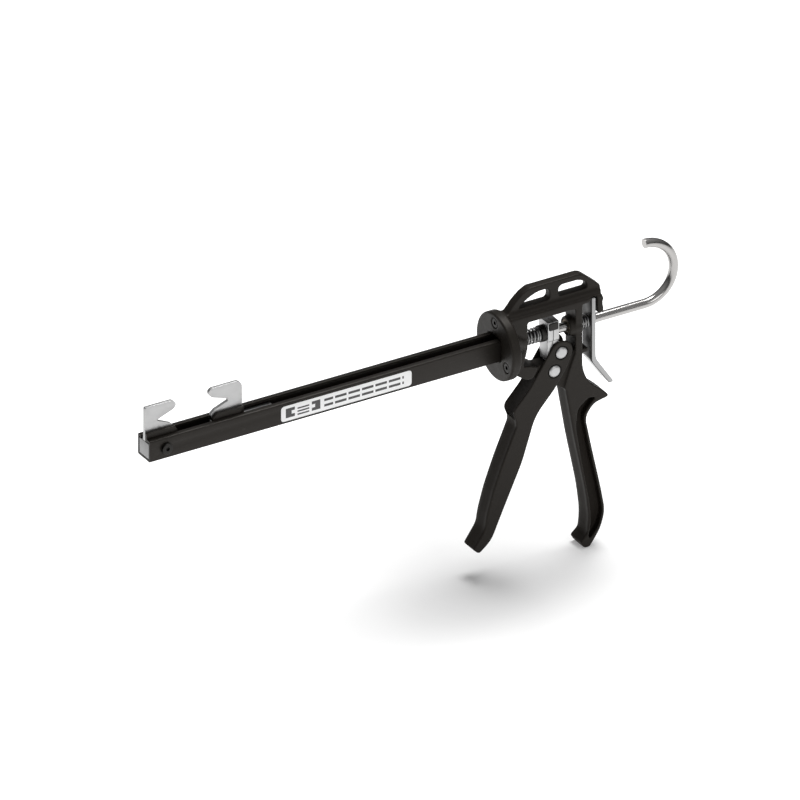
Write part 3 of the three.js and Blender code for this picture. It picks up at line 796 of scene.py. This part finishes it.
# %% Socket screws
def socket_screw(node, axis, place, head, shank, socket):
    """head and shank are (radius, lower end, upper end); socket is (radius to its corners, floor)."""
    head_radius, head_start, head_end = head
    radius, start, end = shank
    corners = [
        (0, head_end), (head_radius, head_end), (head_radius, head_start), (radius, head_start),
        (radius, start), (0, start),
    ]
    turned(node + "_piece", node, BLACKENED, corners, axis, place, 0.45, socket)


for index in (1, 2, 3):
    node = f"flange_screw_{index}"
    low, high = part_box(node)
    place = Vector((high.x, (low.y + high.y) / 2, (low.z + high.z) / 2))
    socket_screw(node, "-X", place, (4.2, 5.6, 8.2), (2.0, 0, 8.2), (2.0, 6.6))

ANCHOR_PLACE = (-310.4, 0, 0)
SET_SCREW_PLACE = (20.4, -7.2, -6.4)
socket_screw("anchor_screw", "-Y", at(*ANCHOR_PLACE), (4.75, 9.6, 12.0), (2.5, -6, 9.6), (1.9, 10.4))
turned(
    "set_screw_piece", "frame_set_screw", BLACKENED, [(0, 1.3), (1.5, 1.3), (1.5, 0), (0, 0)],
    "-Y", at(*SET_SCREW_PLACE), 0.2, (0.8, 0.5),
)

# %% [markdown]
# Both springs are wound from round wire round the rod. A tree bends a fine line into a helix: a float
# curve slows the climb near each end, so that the last coil lies flat as on a real compression spring,
# and a circle is then swept along it.

# %% A tree that winds a spring
WIRE_POINTS = 260
WIRE_SIDES = 14
LEVEL_ENDS = [(0.10, 0.05), (0.90, 0.95)]


def winding_tree():
    tree = Tree("wound_spring", {
        "Length": "Float", "Coil Radius": "Float", "Wire Radius": "Float", "Turns": "Float",
        "Finish": "Material",
    })
    line = tree.node("GeometryNodeCurvePrimitiveLine").outputs[0]
    fine = tree.node("GeometryNodeResampleCurve", {}, {"Curve": line, "Count": WIRE_POINTS}).outputs[0]
    along = tree.node("GeometryNodeSplineParameter").outputs["Factor"]
    climb = tree.node("ShaderNodeFloatCurve", {}, {"Value": along})
    points = climb.mapping.curves[0].points
    for x, y in LEVEL_ENDS:
        points.new(x, y)
    climb.mapping.update()
    angle = tree.math("MULTIPLY", tree.math("MULTIPLY", along, tree.given("Turns")), 2 * math.pi)
    place = tree.node("ShaderNodeCombineXYZ", {}, {
        0: tree.math("MULTIPLY", climb.outputs[0], tree.given("Length")),
        1: tree.math("MULTIPLY", tree.math("SINE", angle), tree.given("Coil Radius")),
        2: tree.math("MULTIPLY", tree.math("COSINE", angle), tree.given("Coil Radius")),
    })
    wound = tree.node("GeometryNodeSetPosition", {}, {"Geometry": fine, "Position": place.outputs[0]})
    wire = tree.node("GeometryNodeCurvePrimitiveCircle", {}, {
        "Resolution": WIRE_SIDES, "Radius": tree.given("Wire Radius"),
    })
    swept = tree.node("GeometryNodeCurveToMesh", {}, {
        "Curve": wound.outputs[0], "Profile Curve": wire.outputs[0], "Fill Caps": True,
    })
    return tree.finish(swept.outputs[0])


WINDING = winding_tree()


def spring(name, node, coil, wire, turns):
    """A spring of round wire, wound to fill its node's length along the rod."""
    start, end = reach(node, "x")
    values = {
        "Length": (end - start - 2 * wire) * MM, "Coil Radius": coil * MM, "Wire Radius": wire * MM,
        "Turns": turns, "Finish": SPRING_STEEL,
    }
    shape = grown(name, WINDING, bpy.data.meshes.new(name), values)
    shape.transform(Matrix.Translation(at(start + wire, 0, 0)))
    piece = finished(name, shape, SPRING_STEEL, [node], smooth_all=True)
    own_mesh(piece)


spring("drive_spring_piece", "drive_spring", 5.6, 0.85, 5.0)
spring("release_spring_piece", "release_spring", 5.6, 0.65, 3.4)

# %% [markdown]
# The rod is drawn bar, bent back over itself into a hook. A tree sweeps a circle along its path; the path
# has close points in the bend, and its radius falls in three steps at each end for the chamfer.

# %% A tree that sweeps the rod
ROD_RADIUS = 3.97
ROD_SIDES = 48
ROD_FRONT, HOOK_START = -231.5, 139.0
HOOK_RADIUS = 27.5
HOOK_STEPS = 48
CHAMFER = [(0.0, 0.8), (0.25, 0.93), (0.6, 1.0)]


def sweeping_tree():
    tree = Tree("swept_bar", {"Radius": "Float", "Sides": "Int", "Finish": "Material"})
    share = tree.node("GeometryNodeInputNamedAttribute", {"data_type": "FLOAT"}, {"Name": "share"}).outputs[0]
    path = tree.node("GeometryNodeMeshToCurve", {}, {"Mesh": tree.given("Geometry")}).outputs[0]
    sized = tree.node("GeometryNodeSetCurveRadius", {}, {"Curve": path, "Radius": share}).outputs[0]
    section = tree.node("GeometryNodeCurvePrimitiveCircle", {}, {
        "Resolution": tree.given("Sides"), "Radius": tree.given("Radius"),
    })
    swept = tree.node("GeometryNodeCurveToMesh", {}, {
        "Curve": sized, "Profile Curve": section.outputs[0], "Fill Caps": True,
    })
    return tree.finish(swept.outputs[0])


def rod_path():
    """Points of the rod's axis and the share of its radius there."""
    path = [(at(ROD_FRONT + step, 0, 0), share) for step, share in CHAMFER]
    path += [(at(x, 0, 0), 1.0) for x in range(-220, int(HOOK_START), 20)]
    for i in range(HOOK_STEPS + 1):
        angle = math.pi * i / HOOK_STEPS
        x, z = HOOK_START + HOOK_RADIUS * math.sin(angle), HOOK_RADIUS * (1 - math.cos(angle))
        path.append((at(x, 0, z), 1.0))
    end = path.pop()[0]
    path += [(end + Vector((step * MM, 0, 0)), share) for step, share in reversed(CHAMFER)]
    return path


path = rod_path()
rod_mesh = bpy.data.meshes.new("rod_path")
rod_mesh.from_pydata([point for point, share in path], [(i, i + 1) for i in range(len(path) - 1)], [])
shares = rod_mesh.attributes.new("share", "FLOAT", "POINT")
shares.data.foreach_set("value", [share for point, share in path])
rod_values = {"Radius": ROD_RADIUS * MM, "Sides": ROD_SIDES, "Finish": CHROME}
rod_shape = grown("rod", sweeping_tree(), rod_mesh, rod_values)
finished("rod_piece", rod_shape, CHROME, ["push_rod"])

# %% [markdown]
# The studio is a product table: a pale floor, one soft light overhead and a second at the side for the
# vertical faces. The floor glows away from the grip, so only the shadow under the handles shows. The
# surrounding is white to the eye, but polished metal needs something dark to reflect as well, so what
# mirrors see of it has a darker band a little above the horizon.

# %% Floor, lights and surrounding
FLOOR_HALF = 3.0
GLOW_CENTRE = (0.055, -0.01, 0.0)
GLOW_START, GLOW_END = 0.02, 0.27
GLOW = 0.7
BANDS = [(0.0, 0.30), (0.50, 0.30), (0.55, 0.12), (0.66, 0.40), (0.85, 0.80)]
SURROUND_STRENGTH = 0.5


def studio_floor():
    mesh = bpy.data.meshes.new("floor")
    corners = [(x * FLOOR_HALF, y * FLOOR_HALF, 0) for x, y in [(-1, -1), (1, -1), (1, 1), (-1, 1)]]
    mesh.from_pydata(corners, [], [(0, 1, 2, 3)])
    floor = bpy.data.objects.new("floor", mesh)
    bpy.context.collection.objects.link(floor)
    net = Net("pale_floor")
    ends = {0: net.place(), 1: GLOW_CENTRE}
    away = net.add("ShaderNodeVectorMath", {"operation": "DISTANCE"}, ends, output=1)
    glow = net.blend(away.ramp(GLOW_START, GLOW_END), grey(0.0), grey(GLOW))
    mesh.materials.append(net.surface(
        Base_Color=grey(0.86), Roughness=0.9, Emission_Color=glow, Emission_Strength=1.0,
    ))
    floor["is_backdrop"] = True


def soft_light(name, place, size, power):
    data = bpy.data.lights.new(name, "AREA")
    data.shape = "DISK"
    data.size = size
    data.energy = power
    light = bpy.data.objects.new(name, data)
    bpy.context.collection.objects.link(light)
    light.location = Vector(place)
    light.rotation_mode = "QUATERNION"
    light.rotation_quaternion = (at(0, 0, 0) - light.location).to_track_quat("-Z", "Y")
    light.visible_camera = False


def surrounding():
    """White where it is seen directly, and banded by height where it lights and reflects."""
    net = Net("surrounding", bpy.data.worlds)
    direction = net.add("ShaderNodeTexCoord", output="Generated")
    height = net.coordinate("z", direction) * 0.5 + 0.5
    bands = net.add("ShaderNodeValToRGB", {}, {"Fac": height})
    elements = bands.socket.node.color_ramp.elements
    while len(elements) < len(BANDS):
        elements.new(1.0)
    for element, (position, level) in zip(elements, BANDS):
        element.position = position
        element.color = grey(level)
    lit = net.add("ShaderNodeBackground", {}, {"Color": bands, "Strength": SURROUND_STRENGTH})
    seen = net.add("ShaderNodeBackground", {}, {"Color": grey(1.0), "Strength": 1.0})
    direct = net.add("ShaderNodeLightPath", output="Is Camera Ray")
    return net.end("ShaderNodeOutputWorld", net.add("ShaderNodeMixShader", {}, {0: direct, 1: lit, 2: seen}))


studio_floor()
soft_light("overhead", (0.45, 0.25, 1.6), 0.8, 19)
soft_light("side", (0.5, -2.2, 1.0), 1.2, 9)

scene = bpy.context.scene
scene.world = surrounding()
scene.view_settings.view_transform = "Standard"
scene.view_settings.look = "None"
print("studio ready")

# %% Measure and finish
visual_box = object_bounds()
for side, cad, visual in zip(("low", "high"), CAD_BOX, visual_box):
    print("growth at the", side, "corner in mm:", [round((b - a) / MM, 2) for a, b in zip(cad, visual)])
